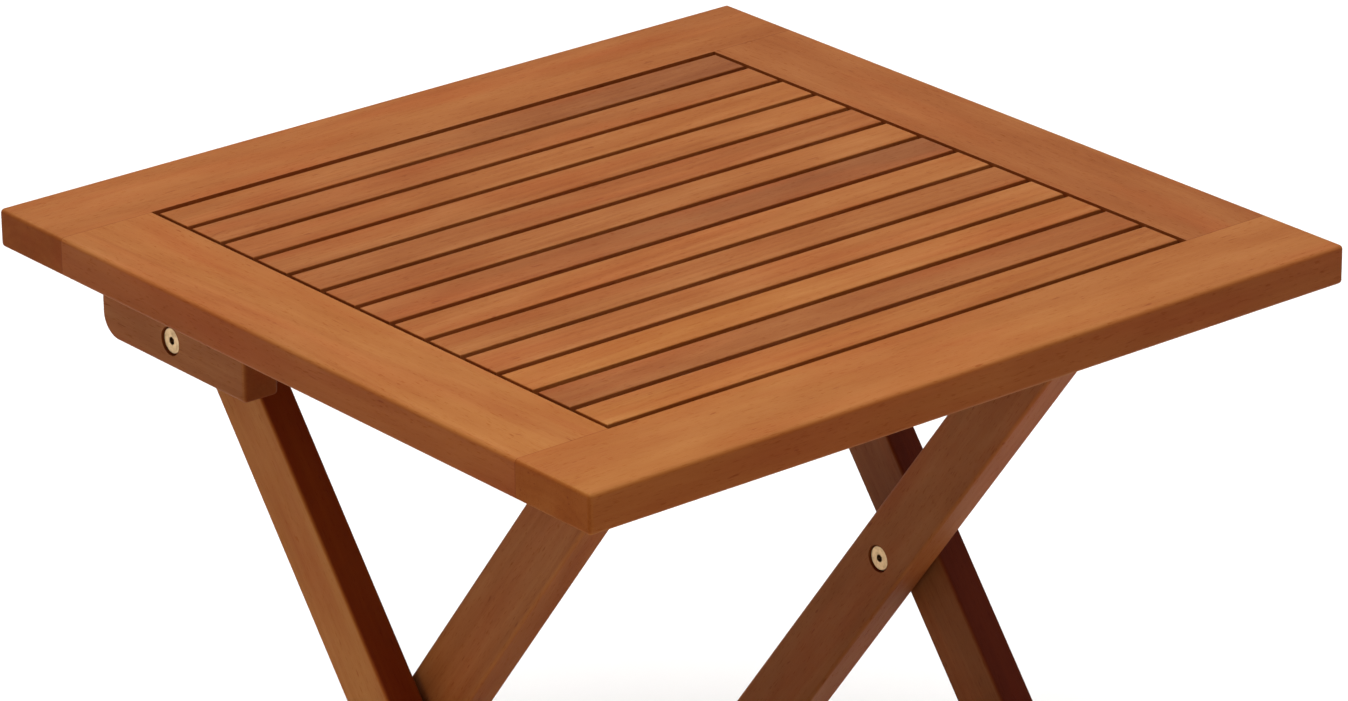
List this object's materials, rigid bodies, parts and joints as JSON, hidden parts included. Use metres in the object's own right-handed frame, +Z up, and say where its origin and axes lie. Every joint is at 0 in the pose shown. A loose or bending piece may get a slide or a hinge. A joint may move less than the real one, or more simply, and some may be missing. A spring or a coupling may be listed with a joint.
{
  "type": "folding slatted side table",
  "caption": "Square slatted wooden side table on two crossed folding leg frames, hinged under the top with flat-headed bolts.",
  "frame": {"origin": "floor centre under the tabletop", "axes": "+Z up, +X along the slats, -Y front where the inner legs catch, +Y back where the outer legs are hinged"},
  "size_m": [0.6, 0.6, 0.5],
  "materials": {
    "frame_wood": "oiled acacia, satin",
    "slat_wood": "oiled acacia, satin",
    "leg_wood": "oiled acacia, satin",
    "bolt_brass": "brass plated, satin",
    "spacer_nylon": "matt nylon",
    "screw_steel": "zinc plated"
  },
  "bodies": {
    "tabletop": {"back_rail": "frame_wood", "catch_screws": "screw_steel", "cleat_screws": "screw_steel", "front_rail": "frame_wood", "hinge_bolt_left": "bolt_brass", "hinge_bolt_right": "bolt_brass", "hinge_nut_left": "bolt_brass", "hinge_nut_right": "bolt_brass", "hinge_spacer_left": "spacer_nylon", "hinge_spacer_right": "spacer_nylon", "left_batten": "leg_wood", "left_catch": "leg_wood", "left_cleat": "leg_wood", "left_stile": "frame_wood", "right_batten": "leg_wood", "right_catch": "leg_wood", "right_cleat": "leg_wood", "right_stile": "frame_wood", "slat_01": "slat_wood", "slat_02": "slat_wood", "slat_03": "slat_wood", "slat_04": "slat_wood", "slat_05": "slat_wood", "slat_06": "slat_wood", "slat_07": "slat_wood", "slat_08": "slat_wood", "slat_09": "slat_wood", "slat_10": "slat_wood", "slat_11": "slat_wood", "slat_12": "slat_wood", "slat_13": "slat_wood", "slat_screws": "screw_steel"},
    "outer_leg_frame": {"crossing_bolt_left": "bolt_brass", "crossing_bolt_right": "bolt_brass", "crossing_nut_left": "bolt_brass", "crossing_nut_right": "bolt_brass", "crossing_spacer_left": "spacer_nylon", "crossing_spacer_right": "spacer_nylon", "outer_leg_left": "leg_wood", "outer_leg_right": "leg_wood", "outer_stretcher": "leg_wood", "stretcher_screws": "screw_steel"},
    "inner_leg_frame": {"inner_leg_left": "leg_wood", "inner_leg_right": "leg_wood", "inner_stretcher": "leg_wood", "inner_top_bar": "leg_wood"}
  },
  "joints": [
    {"name": "outer_leg_fold", "type": "hinge", "parent": "tabletop", "child": "outer_leg_frame", "pos_m": [0, 0.168, 0.44], "axis": [1, 0, 0], "range_deg": [0, 127]},
    {"name": "leg_crossing", "type": "hinge", "parent": "outer_leg_frame", "child": "inner_leg_frame", "pos_m": [0, 0, 0.22], "axis": [1, 0, 0], "range_deg": [-74.5, 0]}
  ],
  "couplings": [
    {"joint": "leg_crossing", "follows": "outer_leg_fold", "ratio": -0.58661}
  ]
}
